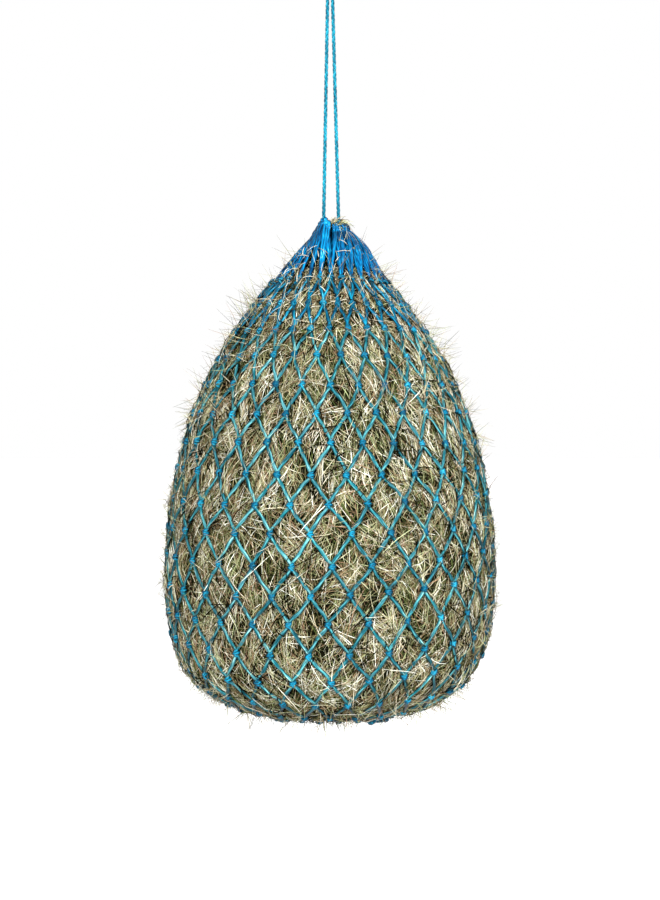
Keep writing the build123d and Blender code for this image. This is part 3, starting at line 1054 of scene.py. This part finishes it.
def wisps():
    """Stems that stand in the open mouth and curl over its right side."""
    count = 120
    start_x = random.uniform(-2, 12, count)
    start_y = random.uniform(-21, -6, count)
    start_z = MOUTH_Z / MM + random.uniform(-12, -1, count)
    start = np.stack([start_x, start_y, start_z], axis=1)
    way = random.uniform(0.1, 1.0, (count, 1, 1)) ** 0.7
    reach = random.uniform(8, 30, (count, 1, 1))
    t = np.linspace(0, 1, STEM_POINTS)[None, :, None]
    rise = random.uniform(6, 14, (count, 1, 1))
    fall = random.uniform(0, 30, (count, 1, 1)) * way
    forward = random.uniform(-6, 9, (count, 1, 1))
    sideways = np.array([1.0, 0, 0]) * way * reach * t + np.array([0, -1.0, 0]) * forward * t
    line = (start[:, None] + sideways + np.array([0, 0, 1.0]) * (rise * np.sin(1.7 * t) - fall * t**2.4)) * MM
    normal = np.broadcast_to(np.array([0.3, -0.8, 0.5]), line.shape).copy()
    taper = np.clip(1.1 - np.linspace(0, 1, STEM_POINTS)[None] ** 3, 0.15, 1)
    wide = random.uniform(0.3, 0.6, (count, 1)) * MM * taper
    return sweep(line, normal, wide, 0.8 * wide, 3, tone=random.uniform(0.05, 0.7, count))


def straws():
    """Pale straws caught in the loops at the front of the mouth."""
    count = 46
    angle = random.uniform(-1.3, 1.3, count)
    share = random.uniform(0.3, 1.05, count)[:, None]
    top = at(DRAWN_RING_R, angle, ring_height(angle))
    low, outward, down = on_net(1, angle, TWINE_PROUD)
    sideways = np.cross(down, outward)
    way = random.uniform(0, math.pi, count)[:, None]
    along = np.cos(way) * down + np.sin(way) * sideways
    half = random.uniform(4, 12, (count, 1, 1)) * MM
    t = np.linspace(-1, 1, STEM_POINTS)[None, :, None]
    out = (random.uniform(5, 12, (count, 1, 1)) - 2.5 * t**2) * MM
    line = (top + share * (low - top))[:, None] + t * half * along[:, None] + out * outward[:, None]
    wide = random.uniform(0.3, 0.5, (count, 1)) * MM * np.ones((1, STEM_POINTS))
    facing = np.repeat(outward[:, None], STEM_POINTS, axis=1)
    return sweep(line, facing, wide, 0.8 * wide, 3, tone=random.uniform(0.5, 1.0, count))


add_piece("mouth_straws", [straws()], HAY, "net", "hay")
add_piece("hay_wisps", [wisps()], HAY, "net", "hay")


# ---------------------------------------------------------------- hook

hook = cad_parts["beam_hook"]
hook.data.materials.clear()
hook.data.materials.append(STEEL)


def thread():
    """The screw thread on the shank: a ridge that fades out at both ends."""
    turns, pitch, per_turn = 9, 4.2 * MM, 28
    t = np.linspace(0, 1, turns * per_turn)
    angle = 2 * math.pi * turns * t
    height = 6 * MM + turns * pitch * t
    outward = np.stack([np.cos(angle), np.sin(angle), np.zeros_like(angle)], axis=1)
    line = 3.9 * MM * outward + height[:, None] * (0, 0, 1)
    rise = np.clip(np.minimum(t, 1 - t) * 12, 0.1, 1)
    return sweep(line[None], outward[None], 0.75 * MM * rise[None], 0.9 * MM * rise[None], 8)


add_piece("hook_thread", [thread()], STEEL, "hook", "steel")


# ---------------------------------------------------------------- floor and light


FLOOR_Z = -2.0
FLOOR_REACH = 30.0


def floor():
    """A wide white disc, far under the net."""
    mesh = bpy.data.meshes.new("floor")
    rim = 96
    angles = 2 * math.pi * np.arange(rim) / rim
    corners = [(FLOOR_REACH * math.cos(a), FLOOR_REACH * math.sin(a), FLOOR_Z) for a in angles]
    mesh.from_pydata(corners, [], [list(range(rim))])
    obj = bpy.data.objects.new("floor", mesh)
    bpy.context.scene.collection.objects.link(obj)
    shader = Shader("floor", Roughness=0.9)
    shader.principled.inputs["Base Color"].default_value = (0.93, 0.93, 0.93, 1)
    shader.principled.inputs["Emission Color"].default_value = (1, 1, 1, 1)
    shader.principled.inputs["Emission Strength"].default_value = 0.25
    mesh.materials.append(shader.material)


NET_MIDDLE = (0, 0, MOUTH_Z - 0.3)


def lamp(name, place, size, power):
    """A square white lamp that faces the middle of the net."""
    light = bpy.data.lights.new(name, "AREA")
    light.size = size
    light.energy = power
    obj = bpy.data.objects.new(name, light)
    bpy.context.scene.collection.objects.link(obj)
    obj.location = place
    way = Vector(NET_MIDDLE) - Vector(place)
    obj.rotation_euler = way.to_track_quat("-Z", "Y").to_euler()


floor()
lamp("key", (-0.7, -2.9, 0.75), size=0.5, power=250)
lamp("fill", (2.2, -1.9, 0.1), size=0.8, power=150)
lamp("rim", (0.8, 2.4, 0.9), size=1.6, power=40)

world = bpy.data.worlds.new("studio")
bpy.context.scene.world = world
world.use_nodes = True
world.node_tree.nodes["Background"].inputs["Color"].default_value = (1, 1, 1, 1)
world.node_tree.nodes["Background"].inputs["Strength"].default_value = 1.0
bpy.context.scene.view_settings.view_transform = "Standard"
